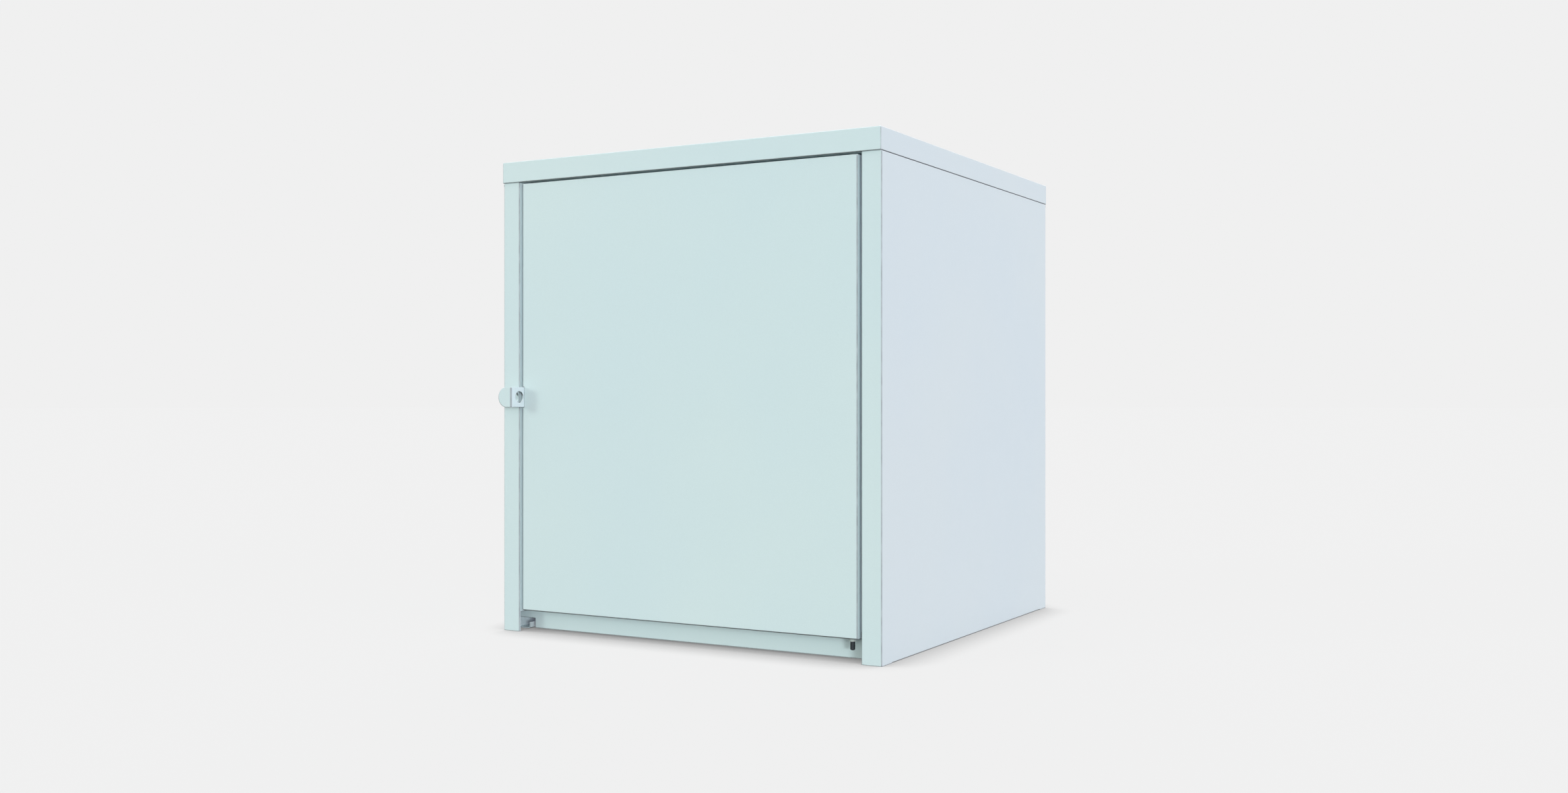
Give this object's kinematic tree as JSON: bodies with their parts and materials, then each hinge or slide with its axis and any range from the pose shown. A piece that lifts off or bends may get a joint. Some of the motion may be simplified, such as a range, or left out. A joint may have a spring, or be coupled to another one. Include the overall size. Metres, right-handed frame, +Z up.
{
  "type": "bedside cabinet",
  "caption": "Small lockable bedside cabinet of folded sheet steel: box body, lid, inner shelf and a hinged door with a padlock tab.",
  "frame": {"origin": "on the floor, at the middle of the overall footprint, lock tab included", "axes": "+Z up; the door faces -Y; +X towards the door's hinged edge"},
  "size_m": [0.3496, 0.3674, 0.39],
  "materials": {
    "painted_steel": "light green-grey powder coat, fine texture, satin",
    "zinc_steel": "bright zinc plate",
    "black_steel": "black oxide, satin",
    "nylon": "natural white nylon",
    "ferrite": "sintered ferrite, matt",
    "rubber": "moulded black rubber, matt"
  },
  "bodies": {
    "cabinet": {"top_cap": "painted_steel", "left_side_panel": "painted_steel", "right_side_panel": "painted_steel", "back_panel": "painted_steel", "bottom_panel": "painted_steel", "header_rail": "painted_steel", "floor_ledges": "painted_steel", "shelf": "painted_steel", "shelf_ledges": "painted_steel", "bottom_hinge_bracket": "zinc_steel", "bottom_thrust_bush": "nylon", "top_hinge_bush": "nylon", "lock_staple": "painted_steel", "magnet_housing": "nylon", "magnet_block": "ferrite", "magnet_poles": "zinc_steel", "door_bumpers": "rubber", "cap_studs": "zinc_steel", "cap_nuts": "zinc_steel", "back_rivets": "zinc_steel", "floor_screws": "zinc_steel", "shelf_screws": "zinc_steel", "bracket_screws": "zinc_steel", "catch_screws": "zinc_steel", "staple_rivets": "zinc_steel", "header_rivets": "zinc_steel"},
    "door": {"door_panel": "painted_steel", "door_stiffener": "painted_steel", "door_hinge_plate": "zinc_steel", "lock_tab": "painted_steel", "tab_rivets": "zinc_steel", "hinge_plate_rivets": "zinc_steel", "bottom_hinge_pin": "black_steel", "pin_guide_bush": "nylon", "top_hinge_pin": "black_steel"}
  },
  "joints": [
    {"name": "door_hinge", "type": "hinge", "parent": "cabinet", "child": "door", "pos_m": [0.148, -0.16062, 0.1945], "axis": [0, 0, 1], "range_deg": [0, 110]}
  ]
}
